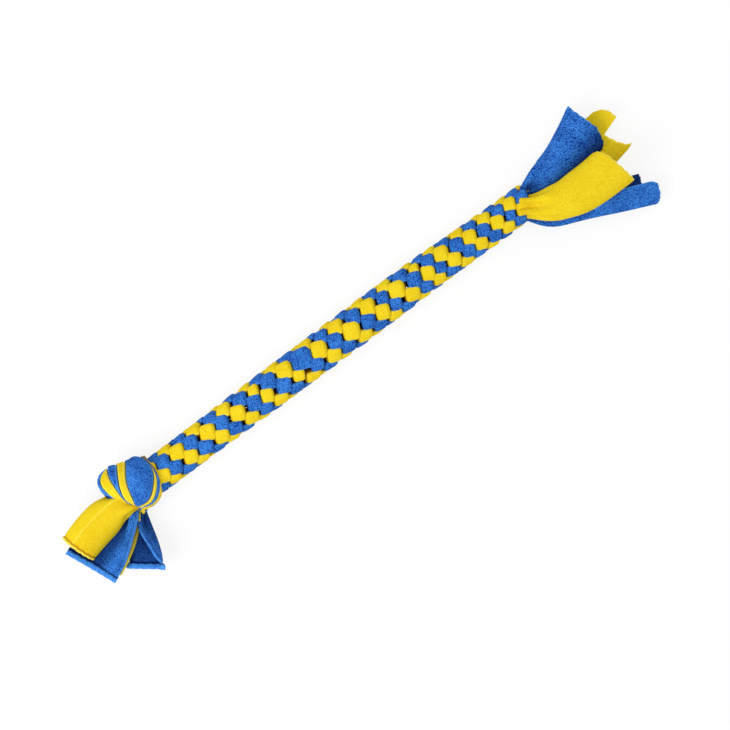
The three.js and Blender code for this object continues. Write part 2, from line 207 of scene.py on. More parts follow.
@dataclass(frozen=True)
class Fleece:
    """One fleece: its colours, and the nap's grain and depth.

    Base, deep and light are linear colours: the nap's own colour, that of its pebbles' hollows,
    which is painted shade, and that of their tips, which is a painted highlight. Rim is the colour
    of frayed cut edges and of painted highlights on rims and crests, and the last colour is that of
    painted shade in creases, gaps and folds. The tone is the sum of the height, the clouds and the
    frayed edges with their painted highlights, each times its share, less the shade. Stops are the
    tones of deep, base and light.
    """

    slot: str
    base: tuple[float, float, float]
    deep: tuple[float, float, float]
    light: tuple[float, float, float]
    rim: tuple[float, float, float]
    crease: tuple[float, float, float]
    grain: float
    pebbles: float
    nap_depth: float
    pebble_fall: float = 1.15
    cloud_scale: float = 60.0
    fine_scale: float = 1.5
    fine_roughness: float = 0.65
    noise_detail: float = 3.0
    height_share: float = 0.85
    cloud_share: float = 0.30
    fray_and_highlight_share: float = 0.10
    shade: float = 0.06
    stops: tuple[float, float, float] = (0.30, 0.52, 0.76)
    edge_even: float = 0.25
    edge_broken: float = 1.2
    relief: float = 0.8
    roughness: float = 0.94
    specular: float = 0.06
    sheen: float = 0.05
    sheen_roughness: float = 0.45

    def material(self) -> bpy.types.Material:
        """The finish, whose nap follows the cloth by each piece's "lie" attribute.

        Pebbles are the distance to the nearest of scattered points one grain apart, roughened by
        finer noise. They raise the surface, and paint shade into its hollows and a highlight on its
        tips. Of the two attributes read after "lie", the first lightens frayed cut edges, where the
        pile stands out, and paints highlights on rims and crests, and breaks them up; the second mixes
        in painted shade where creases, gaps and folds lie in shadow.

        Returns:
            The material.
        """
        made = bpy.data.materials.new(self.slot)
        made.use_nodes = True
        sheet = NodeSheet(made.node_tree)
        made.node_tree.nodes.clear()
        lie = sheet.add("ShaderNodeAttribute", {"attribute_name": "lie"}, output="Vector")
        fray = sheet.add("ShaderNodeAttribute", {"attribute_name": "fray"}, output="Fac")
        fold = sheet.add("ShaderNodeAttribute", {"attribute_name": "fold"}, output="Fac")
        cloudy = sheet.add(
            "ShaderNodeTexNoise",
            inputs={"Vector": lie, "Scale": self.cloud_scale, "Detail": self.noise_detail},
        )
        fine = sheet.add(
            "ShaderNodeTexNoise",
            inputs={
                "Vector": lie,
                "Scale": self.fine_scale / self.grain,
                "Detail": self.noise_detail,
                "Roughness": self.fine_roughness,
            },
        )
        pebble = sheet.add(
            "ShaderNodeTexVoronoi",
            {"feature": "F1"},
            {"Vector": lie, "Scale": 1.0 / self.grain, "Randomness": 1.0},
            "Distance",
        )
        # The pebbles' height sets the tone: painted shade in their hollows and a painted highlight on
        # their tips, on top of the nap's own cloudy mottle.
        height = (1.0 - pebble * self.pebble_fall) * self.pebbles + fine * (1.0 - self.pebbles)
        shared = height * self.height_share + cloudy * self.cloud_share + fray * self.fray_and_highlight_share
        tone = (shared - self.shade).clamped()
        stops = list(zip(self.stops, (self.deep, self.base, self.light)))
        nap = sheet.add("ShaderNodeValToRGB", {"stops": stops}, {0: tone}, "Color")
        # Frayed cut edges, with painted highlights on rims and crests, go towards the rim colour.
        edge = (fray * (self.edge_even + fine * self.edge_broken)).clamped()
        edged = sheet.mixed(edge, nap, (*self.rim, 1.0))
        # Painted shade in creases, gaps and under other cloth goes towards its own dark colour.
        colour = sheet.mixed(fold.clamped(), edged, (*self.crease, 1.0))
        bump = sheet.add(
            "ShaderNodeBump",
            inputs={"Height": height, "Strength": self.relief, "Distance": self.nap_depth},
        )
        shader = sheet.add(
            "ShaderNodeBsdfPrincipled",
            inputs={
                "Base Color": colour,
                "Normal": bump,
                "Roughness": self.roughness,
                "Specular IOR Level": self.specular,
                "Sheen Weight": self.sheen,
                "Sheen Roughness": self.sheen_roughness,
                "Sheen Tint": (*self.light, 1.0),
            },
        )
        sheet.add("ShaderNodeOutputMaterial", inputs={"Surface": shader})
        return made


YELLOW = Fleece(
    slot="yellow_fleece",
    base=(0.84, 0.640, 0.004),
    deep=(0.75, 0.50, 0.004),
    light=(0.88, 0.73, 0.030),
    rim=(0.92, 0.82, 0.16),
    # The colour of painted shade in creases and gaps.
    crease=(0.42, 0.17, 0.001),
    grain=0.0016,
    pebbles=0.30,
    nap_depth=0.0003,
)
BLUE = Fleece(
    slot="blue_fleece",
    base=(0.013, 0.128, 0.580),
    deep=(0.001, 0.026, 0.230),
    light=(0.070, 0.330, 0.960),
    rim=(0.095, 0.370, 0.930),
    # The colour of painted shade in creases and gaps.
    crease=(0.0005, 0.004, 0.050),
    grain=0.0012,
    pebbles=0.52,
    nap_depth=0.0004,
)
Finishes = dict[Fleece, bpy.types.Material]


# Surfaces


def hash01(number: np.ndarray | float, salt: float) -> np.ndarray:
    """Even-looking numbers from 0 to 1 that are the same each run.

    The fraction left of a large sine of the number.

    Args:
        number: what to scatter.
        salt: a different value gives different numbers.

    Returns:
        The scattered numbers.
    """
    wave = np.sin(np.asarray(number, float) * HASH_STEP + salt * HASH_SALT) * HASH_SPREAD
    return wave - np.floor(wave)


def eased(low: float, high: float, value: np.ndarray) -> np.ndarray:
    """A smooth step: 0 below low, 1 above high, 3t^2 - 2t^3 between."""
    t = np.clip((value - low) / (high - low), 0, 1)
    return t * t * (3 - 2 * t)


def bell(value: np.ndarray, width: float) -> np.ndarray:
    """1 where the value is 0, less to both sides: e to the power of -(value / width)^2."""
    return np.exp(-((value / width) ** 2))


def rounded(inwards: np.ndarray, radius: float, steepest: float) -> np.ndarray:
    """How thick a rounded edge is, over its full thickness.

    The height of a circle, root of 1 - (1 - inwards / radius)^2.

    Args:
        inwards: the distance from the edge.
        radius: how far in the edge is fully thick.
        steepest: where the circle starts, short of 1, so that the edge keeps some thickness.

    Returns:
        The share, from nearly 0 to 1.
    """
    return np.sqrt(1 - np.clip(1 - inwards / radius, 0, steepest) ** 2)


def grounded(points: np.ndarray, softness: float = 0.0012) -> np.ndarray:
    """The points with their heights kept above the floor, half of z plus root of z^2 + softness^2.

    Args:
        points: an array whose last axis is x, y, z.
        softness: how high above the floor the flattening starts.

    Returns:
        The points, lifted.
    """
    lifted = points.copy()
    z = points[..., 2]
    lifted[..., 2] = (z + np.sqrt(z * z + softness * softness)) / 2
    return lifted


@dataclass
class Surface:
    """A closed surface from a grid of points whose rows are rings.

    The rings are joined one after the other. The first and last are closed by joining each point
    with its partner on the other half of the ring, so a notched end stays open.
    """

    rings: np.ndarray
    lie: np.ndarray
    fray: np.ndarray
    fold: np.ndarray

    def faces(self) -> np.ndarray:
        """The quads between rings and across the two ends, as rows of four indices."""
        rows, around = self.rings.shape[:2]
        index = np.arange(rows * around).reshape(rows, around)
        right = np.roll(index, -1, axis=1)
        quads = np.stack([index[:-1], right[:-1], right[1:], index[1:]], axis=-1).reshape(-1, 4)
        half = around // 2 - 1
        near, far = np.arange(half), around - 1 - np.arange(half)
        first, last = (
            np.stack([ring[near], ring[far], ring[far - 1], ring[near + 1]], axis=-1)
            for ring in (index[0], index[-1])
        )
        return np.concatenate([quads, first, last[:, ::-1]])

    def piece(self, name: str, strip: Strip, finishes: Finishes) -> bpy.types.Object:
        """The surface as an object at the origin, turned so that its faces point out.

        Args:
            name: the piece's name.
            strip: the strip that it is part of.
            finishes: each fleece's material.

        Returns:
            The object.
        """
        points = self.rings.reshape(-1, 3)
        quads = self.faces()
        a, b, c, d = (points[quads[:, k]] for k in range(4))
        if (a * (np.cross(b, c) + np.cross(c, d))).sum() < 0:
            quads = quads[:, ::-1]
        mesh = bpy.data.meshes.new(name)
        mesh.from_pydata(points.tolist(), [], quads.tolist())
        mesh.polygons.foreach_set("use_smooth", np.ones(len(mesh.polygons), bool))
        mesh.attributes.new("lie", "FLOAT_VECTOR", "POINT").data.foreach_set(
            "vector", self.lie.astype(np.float32).ravel()
        )
        for label, values in (("fray", self.fray), ("fold", self.fold)):
            mesh.attributes.new(label, "FLOAT", "POINT").data.foreach_set(
                "value", values.astype(np.float32).ravel()
            )
        mesh.materials.append(finishes[strip.fleece])
        made = bpy.data.objects.new(name, mesh)
        bpy.context.scene.collection.objects.link(made)
        return made


# The braid


@dataclass
class Braid:
    """The round braid: each strip is a chain of pillows, one where it crosses over in each round."""

    axis_height: float = 0.0175
    start_x: float = -0.220
    mouth_x: float = 0.2225
    knot_side_radius: float = 0.0188
    middle_radius: float = 0.0200
    mouth_side_radius: float = 0.0176
    radius_shares: tuple[float, ...] = (0.0, 0.45, 0.62, 0.8, 1.0)
    hinges: tuple[float, ...] = (-0.160, -0.096, -0.032, 0.032, 0.096, 0.160)
    hinge_pitch: float = 0.064
    first_round: int = -2
    # Where each round's pillows sit along the braid: two rounds to a crossing, the first at -2.
    round_x: tuple[float, ...] = (
        -0.2255, -0.2168, -0.2099, -0.2027, -0.1927, -0.1840, -0.1760, -0.1665, -0.1566,
        -0.1466, -0.1388, -0.1313, -0.1210, -0.1118, -0.1021, -0.0949, -0.0866, -0.0782,
        -0.0677, -0.0585, -0.0493, -0.0378, -0.0280, -0.0182, -0.0088, -0.0004, 0.0080,
        0.0190, 0.0277, 0.0384, 0.0458, 0.0551, 0.0634, 0.0707, 0.0801, 0.0900, 0.0996,
        0.1060, 0.1148, 0.1207, 0.1279, 0.1368, 0.1440, 0.1540, 0.1605, 0.1690, 0.1755,
        0.1846, 0.1910, 0.2003, 0.2067, 0.2150, 0.2205, 0.2284, 0.2350,
    )
    # How far the pattern is turned about the axis, in degrees, after that many crossings.
    turns: tuple[tuple[float, float], ...] = (
        (-1, -114), (0, -113), (1.5, -111), (3, -102), (4.5, -94), (6, -84), (7.5, -73),
        (9, -68.5), (10, -61), (11, -47), (12.5, -36), (14, -27), (15.5, -18), (17, -3),
        (18.5, 12), (20, 22), (21.5, 31), (23, 44), (24.5, 56), (26, 68), (26.5, 46),
    )
    # Pillows that stand out as bigger or smaller than the rest: for each strip, round and size.
    odd_pillows: tuple[tuple[Strip, tuple[tuple[int, float], ...]], ...] = (
        (Strip.YELLOW_A, ((17, 1.08), (18, 0.80), (25, 1.10), (32, 1.06), (39, 1.06))),
        (Strip.BLUE_A, ((19, 1.27), (20, 0.92), (34, 1.04), (49, 0.82))),
        (Strip.YELLOW_B, ((13, 0.84), (14, 0.93), (21, 1.06), (28, 1.06), (35, 0.80), (46, 0.92))),
        (Strip.BLUE_B, ((0, 1.04), (15, 1.05), (30, 0.90), (31, 0.90), (38, 0.84))),
    )
    aside: float = -0.0007
    drift_from: float = 0.10
    drift: float = 0.0022
    usual_spacing: float = 0.0178
    pillow_length: float = 0.0176
    pillow_width: float = 0.0204
    pillow_height: float = 0.0050
    pillow_depth: float = 0.0090
    lay: float = math.radians(25)
    cross: float = math.radians(108)
    squareness: float = 4.6
    boxy: float = 0.62
    dive: float = 0.0060
    dive_power: int = 6
    # Slight chance: shift, skew in radians and size, each from end to end of its range.
    shift_range: float = 0.0010
    skew_range: float = 0.16
    size_range: float = 0.06
    spacing_limits: tuple[float, float] = (0.9, 1.12)
    # The poles of a pillow, where its outline would shrink to nothing, are left out.
    short_of_pole: float = 0.999
    end_rise: float = 0.2
    tilt: float = 0.0007
    swell: float = 0.0052
    # The painted highlight of the pale rim: from that far across, on the upper side only, and not at
    # the ends.
    rim_from: float = 0.80
    rim_power: float = 1.5
    rim_above: float = 0.05
    rim_reach: float = 0.9
    painted_rim_highlight: float = 0.5
    # Painted shade in creases: none at the first depth under the outer radius, full at the second.
    painted_shade_depths: tuple[float, float] = (0.0022, 0.0050)
    blend_reach: float = 0.45
    steps: int = 24
    around: int = 28

    def radius(self, x: np.ndarray) -> np.ndarray:
        """The braid's outer radius at x: widest in the middle, narrowest at the mouth."""
        share = np.clip((x - self.start_x) / (self.mouth_x - self.start_x), 0, 1)
        at_knot, wide_from, wide_to, narrow_from, at_mouth = self.radius_shares
        drop = (self.middle_radius - self.mouth_side_radius) / 2
        last = np.clip((share - narrow_from) / (at_mouth - narrow_from), 0, 1)
        return (
            self.knot_side_radius
            + (self.middle_radius - self.knot_side_radius) * eased(at_knot, wide_from, share)
            - drop * (eased(wide_to, narrow_from, share) + last)
        )

    def places(self, rounds: np.ndarray) -> np.ndarray:
        """Where along the braid each round's pillows sit."""
        known = np.arange(len(self.round_x)) + self.first_round
        return np.interp(rounds, known, self.round_x)

    def chance(self, what: Chance, rounds: np.ndarray, strip: Strip, full: float) -> np.ndarray:
        """A slight difference for each pillow, up to half the full range to either side.

        Args:
            what: what differs.
            rounds: the pillows' rounds.
            strip: their strip.
            full: the range from end to end.

        Returns:
            The differences.
        """
        return (hash01(rounds * len(Strip) + strip.value, what.value) - 0.5) * full

    def sizes(self, rounds: np.ndarray, strip: Strip) -> np.ndarray:
        """How big each round's pillow is beside the usual one, from the odd ones and slight chance."""
        full = 1 + self.chance(Chance.SIZE, rounds, strip, self.size_range)
        for number, size in dict(self.odd_pillows)[strip]:
            full = np.where(rounds == number, size, full)
        return full

    def chain(self, strip: Strip, first: int, last: int) -> Surface:
        """One strip's pillows for rounds first to last, joined deep inside the braid.

        A pillow is a squared ellipse on the braid's round: along its lay p from -1 to 1 and across
        it q, its half width is (1 - |p|^n)^(1/n). Its dome is that same curve in height. Both
        ends dive inwards with p^6. Points go out at angle theta and radius r from the axis. Painted
        shade darkens the creases, the more the deeper the surface lies under the braid's outer radius,
        and a painted highlight lightens the rims on the pillows' upper sides.

        Args:
            strip: the strip.
            first: its first round, two rounds to a crossing.
            last: its last round.

        Returns:
            The chain's surface.
        """
        rounds = np.arange(first, last + 1)[:, None, None]
        count = rounds / 2
        centre = self.places(rounds)
        sway = self.chance(Chance.SHIFT, rounds, strip, self.shift_range)
        slip = self.chance(Chance.SLIP, rounds, strip, self.shift_range)
        skew = self.chance(Chance.SKEW, rounds, strip, self.skew_range)
        full = self.sizes(rounds, strip)
        spacing = (self.places(rounds + 1) - self.places(rounds - 1)) / self.usual_spacing
        spacing = np.clip((1 + spacing) / 2, *self.spacing_limits)
        n = self.squareness
        p = np.sin(np.linspace(-QUARTER, QUARTER, self.steps))[None, :, None] * self.short_of_pole
        outline = (1 - np.abs(p) ** n) ** (1 / n)
        turn = np.linspace(0, WHOLE_TURN, self.around, endpoint=False)[None, None, :]
        cos, sin = np.cos(turn), np.sin(turn)
        q = np.sign(cos) * np.abs(cos) ** self.boxy
        up = np.sign(sin) * np.abs(sin) ** self.boxy
        scale = self.radius(centre) / self.middle_radius
        along_lay = p * self.pillow_length / 2 * spacing * full
        across = q * outline * self.pillow_width / 2 * scale * full
        lay, cross = self.lay + skew, self.cross + skew / 2
        x = centre + sway + along_lay * np.cos(lay) + across * np.cos(cross)
        arc = slip + along_lay * np.sin(lay) + across * np.sin(cross)
        rise = np.where(up > 0, self.pillow_height, self.pillow_depth) * up
        rise = rise * (self.end_rise + (1 - self.end_rise) * outline)
        dive = self.dive * np.abs(p) ** self.dive_power
        tilt = self.tilt * (p - q * outline / 2)
        seat = self.radius(x) - self.pillow_height - dive + tilt
        r = seat + rise + self.swell * (full - 1) * (up > 0)
        turned = np.radians(np.interp(count, *np.array(self.turns).T))
        theta = QUARTER * (1 + count - strip.value) + turned + arc / self.radius(x)
        aside = self.aside - self.drift * eased(self.drift_from, self.mouth_x, x)
        points = np.stack(
            [x, aside + r * np.cos(theta), self.axis_height + r * np.sin(theta)], axis=-1
        ).reshape(-1, self.around, 3)
        # Painted highlight on the rims of the pillows' upper sides, painted shade in the creases.
        side = np.clip((np.abs(q) - self.rim_from) / (1 - self.rim_from), 0, 1) ** self.rim_power
        side = side * (up > self.rim_above) * (np.abs(p) < self.rim_reach)
        fold = eased(*self.painted_shade_depths, self.radius(x) - r)
        fray = side * self.painted_rim_highlight * (1 - fold)
        fray, fold = (np.broadcast_to(v, x.shape).reshape(-1, self.around) for v in (fray, fold))
        return Surface(grounded(points), points, fray, fold)

    def build(self, finishes: Finishes) -> None:
        """Makes each strip in six lengths, one for each hinge.

        Args:
            finishes: each fleece's material.
        """
        rounds = np.arange(len(self.round_x)) + self.first_round
        centres = self.places(rounds)
        last = len(self.hinges) - 1
        for k, hinge in enumerate(self.hinges):
            start = -math.inf if k == 0 else hinge - self.hinge_pitch / 2
            end = math.inf if k == last else hinge + self.hinge_pitch / 2
            held = rounds[(centres >= start) & (centres < end)]
            for strip in Strip:
                chain = self.chain(strip, int(held[0]), int(held[-1]))
                made = chain.piece(f"round_{k + 1}_{strip.label}", strip, finishes)
                nodes = [f"braid_{k + 1}_{strip.label}"]
                if k == last:
                    nodes.append(f"braid_{k + 2}_{strip.label}")
                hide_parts(*nodes)
                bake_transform(made)
            log.info("braid length %d: rounds %d to %d of four strips", k + 1, held[0], held[-1])


# The knot


@dataclass
class Knot:
    """The knot: each strip goes round the others twice, near the braid and then further out.

    Nine lines part the bands, numbered from the braid outwards. Over the top they leave their even
    places and draw together at the exit. From there each runs back under the knot on a cubic
    curve, whose control points are x and the way round the core at the fan's radius, in metres.
    """

    braid: Braid
    core_radius: float = 0.0125
    core_end: tuple[float, float, float] = (-0.252, -0.009, 0.0185)
    near_x: float = -0.220
    near_slant: float = 0.009
    exit_x: float = -0.2515
    far_reach: float = 0.026
    radius_z: float = 0.026
    centre_z: float = 0.0245
    end_share: float = 0.42
    outline_softness: float = 0.0015
    squareness: float = 2.6
    # The outline seen from above: how far from the knot's near face, its middle, its half width.
    outline: tuple[tuple[float, float, float], ...] = (
        (-0.002, 0.0070, 0.0130), (0.001, 0.0068, 0.0150), (0.004, 0.0057, 0.0172),
        (0.009, 0.0036, 0.0214), (0.014, 0.0028, 0.0240), (0.020, 0.0028, 0.0258),
        (0.027, 0.0042, 0.0270), (0.034, 0.0065, 0.0272), (0.040, 0.0105, 0.0236),
        (0.046, 0.0145, 0.0192), (0.051, 0.0168, 0.0150), (0.055, 0.0176, 0.0100),
        (0.0585, 0.0178, 0.0052),
    )
    core_gap: float = 0.0007
    least_wall: float = 0.0016
    flare: float = 0.0075
    flare_power: float = 0.6
    turn_angle: float = math.radians(292.5)
    climb_angle: float = math.radians(67.5)
    climb_centre: float = math.radians(270)
    line_shares: tuple[float, ...] = (0.0, 0.055, 0.10, 0.155, 0.50, 0.625, 0.75, 0.93, 1.0)
    fan_from: float = math.radians(-40)
    fan_at: float = math.radians(120)
    fan_to: float = math.radians(215)
    fan_radius: float = 0.025
    under_share: float = 0.38
    # Where lines 0 to 8 run over the top, seen from above, from the outline to the exit.
    line_x: tuple[tuple[float, ...], ...] = (
        (-0.2203, -0.2190, -0.2188, -0.2215, -0.2288, -0.2402, -0.2552, -0.2565),
        (-0.2206, -0.2201, -0.2208, -0.2240, -0.2309, -0.2403, -0.2544, -0.2566),
        (-0.2211, -0.2209, -0.2224, -0.2265, -0.2338, -0.2425, -0.2543, -0.2566),
        (-0.2215, -0.2211, -0.2232, -0.2283, -0.2366, -0.2445, -0.2541, -0.2567),
        (-0.2399, -0.2433, -0.2469, -0.2508, -0.2530, -0.2545, -0.2564, -0.2570),
        (-0.2484, -0.2516, -0.2551, -0.2585, -0.2609, -0.2617, -0.2600, -0.2575),
        (-0.2584, -0.2606, -0.2616, -0.2619, -0.2623, -0.2627, -0.2617, -0.2580),
        (-0.2598, -0.2665, -0.2708, -0.2725, -0.2717, -0.2708, -0.2647, -0.2584),
        (-0.2615, -0.2694, -0.2742, -0.2761, -0.2759, -0.2744, -0.2662, -0.2588),
    )
    line_y: tuple[tuple[float, ...], ...] = (
        (0.0169, 0.0078, -0.0011, -0.0106, -0.0194, -0.0241, -0.0198, -0.0165),
        (0.0168, 0.0080, -0.0010, -0.0094, -0.0171, -0.0216, -0.0187, -0.0159),
        (0.0167, 0.0082, -0.0004, -0.0082, -0.0156, -0.0199, -0.0177, -0.0152),
        (0.0167, 0.0098, 0.0022, -0.0055, -0.0135, -0.0173, -0.0162, -0.0142),
        (0.0283, 0.0227, 0.0173, 0.0093, 0.0015, -0.0048, -0.0106, -0.0131),
        (0.0312, 0.0248, 0.0180, 0.0110, 0.0033, -0.0028, -0.0084, -0.0127),
        (0.0337, 0.0282, 0.0217, 0.0147, 0.0078, 0.0013, -0.0064, -0.0123),
        (0.0337, 0.0320, 0.0281, 0.0222, 0.0142, 0.0064, -0.0036, -0.0118),
        (0.0342, 0.0327, 0.0288, 0.0242, 0.0159, 0.0088, -0.0019, -0.0112),
    )
    leave_x: tuple[float, float] = (-0.243, -0.258)
    leave_arc: tuple[float, float] = (0.058, 0.049)
    under_arc: float = 0.072
    order: tuple[Strip, ...] = (Strip.YELLOW_B, Strip.BLUE_A, Strip.YELLOW_A, Strip.BLUE_B)
    # A band's face: the crown in its middle, the drop at its edges, and slight waves. All but a
    # part of the drop grow with the band's breadth over the usual one, between two limits.
    crown: float = 0.0011
    crown_power: float = 2.4
    tuck: float = 0.0022
    tuck_power: int = 9
    tuck_breadth: float = 0.8
    edge_drop: float = 0.0007
    usual_breadth: float = 0.012
    breadth_limits: tuple[float, float] = (0.2, 1.7)
    wave: float = 0.0005
    wave_turns: tuple[float, float, float] = (4, 7, 2.0)
    band_depth: float = 0.0065
    # Painted highlight: a pale line just inside a band's edges. Painted shade: a dark line on them,
    # and on the band's back.
    pale_at: float = 0.0009
    pale_width: float = 0.0007
    pale: float = 0.75
    dark_width: float = 0.0005
    dark: float = 0.8
    back_shade: float = 0.7
    # The strips' way through the middle: from and to in metres from the near face, how deep under
    # the knot's own surface, and how dark its painted shade is.
    heart_from: float = 0.006
    heart_to: float = 0.0555
    heart_sunk: float = 0.0042
    heart_shade: float = 0.45
    heart_open: float = 0.01
    heart_rows: int = 44
    heart_columns: int = 20
    heart_closing: int = 6
    heart_overlap: float = 0.02
    heart_middle: float = 0.05
    gather: float = 0.0007
    gather_turns: tuple[float, float] = (9, 160)
    steps: int = 420
    across: int = 24

    @property
    def numbers(self) -> np.ndarray:
        """The numbers of the lines that part the bands."""
        return np.arange(len(self.line_shares))

    def near_face(self, angle: np.ndarray) -> np.ndarray:
        """The side towards the braid, slanted by the cosine of the angle."""
        return self.near_x - self.near_slant * (1 - np.cos(angle)) / 2

    def far_face(self, angle: np.ndarray) -> np.ndarray:
        """The side towards the tails, which reaches furthest at angle 0 and meets the exit behind."""
        return self.exit_x - self.far_reach * np.maximum(0, np.cos(angle)) ** self.flare_power

    def even_place(self, angle: np.ndarray, share: np.ndarray) -> np.ndarray:
        """Where along the toy a line at that share of the way across lies, away from the fan."""
        near = self.near_face(angle)
        return near - (near - self.far_face(angle)) * share

    def core(self, x: np.ndarray) -> tuple[np.ndarray, np.ndarray]:
        """The strips' middle inside the knot, which bends towards the exit with the square of x."""
        share = np.clip((self.near_x - x) / (self.near_x - self.core_end[0]), 0, 1) ** 2
        height = self.braid.axis_height
        return self.core_end[1] * share, height + (self.core_end[2] - height) * share

    def inner(self, x: np.ndarray) -> np.ndarray:
        """The radius that the turns close on, flared past the exit."""
        reach = self.core_end[0] - self.exit_x + self.far_reach
        beyond = np.clip((self.core_end[0] - x) / reach, 0, 1)
        return self.core_radius + self.core_gap + self.flare * beyond**self.flare_power

    def ellipse(self, x: np.ndarray) -> tuple[np.ndarray, np.ndarray, np.ndarray]:
        """The knot's section at x: its middle's y, its half width and its half height.

        Args:
            x: places along the toy.

        Returns:
            The three, in that order.
        """
        depth = self.near_x - x
        u = np.clip(depth / (self.near_x - self.exit_x + self.far_reach), 0, 1)
        bulge = np.sqrt(1 - np.abs(2 * u - 1) ** self.squareness)
        places, middles, halves = np.array(self.outline).T
        near, past = depth - self.outline_softness, depth + self.outline_softness
        middle = (np.interp(near, places, middles) + np.interp(past, places, middles)) / 2
        half = (np.interp(near, places, halves) + np.interp(past, places, halves)) / 2
        return middle, half, self.radius_z * (self.end_share + (1 - self.end_share) * bulge)

    def outer(self, x: np.ndarray, angle: np.ndarray) -> np.ndarray:
        """How far out the knot lies from the core, along the angle.

        The root of a quadratic: where a ray from the core meets the ellipse of that x.

        Args:
            x: places along the toy.
            angle: directions round the core.

        Returns:
            The radius, at least a thin wall over the inner one.
        """
        middle, ry, rz = self.ellipse(x)
        cy, cz = self.core(x)
        dy, dz = cy - middle, cz - self.centre_z
        c, s = np.cos(angle), np.sin(angle)
        a = (c / ry) ** 2 + (s / rz) ** 2
        b = dy * c / ry**2 + dz * s / rz**2
        k = (dy / ry) ** 2 + (dz / rz) ** 2 - 1
        root = b * b - a * k
        reach = np.where(root > 0, (np.sqrt(np.maximum(root, 0)) - b) / a, 0)
        return np.maximum(reach, self.inner(x) + self.least_wall)

    def over_top(self, line: np.ndarray, step: np.ndarray) -> tuple[np.ndarray, np.ndarray]:
        """Where a line runs over the top, on a smooth curve through its listed points.

        The curve is a Catmull-Rom spline. The angle round the core is that of the ellipse's upper
        side at the listed y.

        Args:
            line: the line's number, whole or between two lines.
            step: how many listed points along, whole or between two points.

        Returns:
            The place along the toy and the angle.
        """
        line, step = np.broadcast_arrays(line, step)
        table = np.stack([self.line_x, self.line_y], axis=-1)
        last_line, last_point = np.array(table.shape[:2]) - 1
        low = np.clip(np.floor(line), 0, last_line - 1).astype(int)
        part = (line - low)[..., None]

        def listed(k: np.ndarray) -> np.ndarray:
            """The k-th point of the line."""
            k = np.clip(k, 0, last_point)
            return table[low, k] * (1 - part) + table[low + 1, k] * part

        i = np.clip(np.floor(step), 0, last_point - 1).astype(int)
        t = (step - i)[..., None]
        p0, p1, p2, p3 = listed(i - 1), listed(i), listed(i + 1), listed(i + 2)
        found = p1 + 0.5 * t * (
            p2 - p0 + t * (2 * p0 - 5 * p1 + 4 * p2 - p3 + t * (3 * p1 - p0 - 3 * p2 + p3))
        )
        x, y = found[..., 0], found[..., 1]
        middle, half, high = self.ellipse(x)
        cy, cz = self.core(x)
        z = self.centre_z + high * np.sqrt(np.maximum(0, 1 - ((y - middle) / half) ** 2))
        return x, np.arctan2(z - cz, y - cy)

    def fan(self, line: np.ndarray, base: np.ndarray) -> tuple[np.ndarray, np.ndarray]:
        """Where a line has got to between the fan's start and its end.

        It leaves its even place for the first listed point, follows the listed points to the exit,
        and goes back under the knot on the cubic curve (1-s)^3 P0 + 3(1-s)^2 s P1 + 3(1-s) s^2 P2
        + s^3 P3.

        Args:
            line: the line's number, whole or between two lines.
            base: the angle round the core, from the fan's start to its end.

        Returns:
            The place along the toy and the angle.
        """
        share = np.interp(line, self.numbers, self.line_shares)
        last = float(len(self.line_x[0]) - 1)
        coming = np.clip((base - self.fan_from) / (self.fan_at - self.fan_from), 0, 1)
        step = np.clip((coming - self.under_share) / (1 - self.under_share), 0, 1) * last
        top_x, top_angle = self.over_top(line, step)
        rising = np.clip(coming / self.under_share, 0, 1)
        start_x = self.even_place(np.array(self.fan_from), share)
        in_x = start_x + (top_x - start_x) * rising
        in_angle = self.fan_from + (top_angle - self.fan_from) * rising
        exit_x, exit_angle = self.over_top(line, np.full(np.shape(line), last))
        s = np.clip((self.fan_to - base) / (self.fan_to - self.fan_at), 0, 1)
        t = 1 - s
        end_x = self.even_place(np.array(self.fan_to), share)
        leave_x = np.interp(line, self.numbers[[0, -1]], self.leave_x)
        leave_arc = np.interp(line, self.numbers[[0, -1]], self.leave_arc)
        out_x = (t**3 + 3 * t * t * s) * end_x + 3 * t * s * s * leave_x + s**3 * exit_x
        out_angle = (
            t**3 * self.fan_to
            + (3 * t * t * s * self.under_arc + 3 * t * s * s * leave_arc) / self.fan_radius
            + s**3 * exit_angle
        )
        inwards = base < self.fan_at
        return np.where(inwards, in_x, out_x), np.where(inwards, in_angle, out_angle)

    def placed(
        self, place: int, section: np.ndarray, angle: np.ndarray, climb: np.ndarray
    ) -> tuple[np.ndarray, np.ndarray]:
        """Where points across a band lie, on the even turns or in the fan.

        Args:
            place: the strip's place in the knot, from the braid outwards.
            section: how far across the band, 0 to 1.
            angle: the angle turned to, which grows along the strip.
            climb: 0 on the turn near the braid, 1 on the far one.

        Returns:
            The place along the toy and the angle.
        """
        near_line, far_line = place + section, place + len(self.order) + section
        near_share, far_share = (
            np.interp(line, self.numbers, self.line_shares) for line in (near_line, far_line)
        )
        share = (1 - climb) * near_share + climb * far_share
        base = np.mod(angle - self.fan_from, WHOLE_TURN) + self.fan_from
        fan_x, fan_angle = self.fan(np.where(climb < 0.5, near_line, far_line), base)
        inside = base < self.fan_to
        x = np.where(inside, fan_x, self.even_place(angle, share))
        return x, np.where(inside, fan_angle + angle - base, angle)

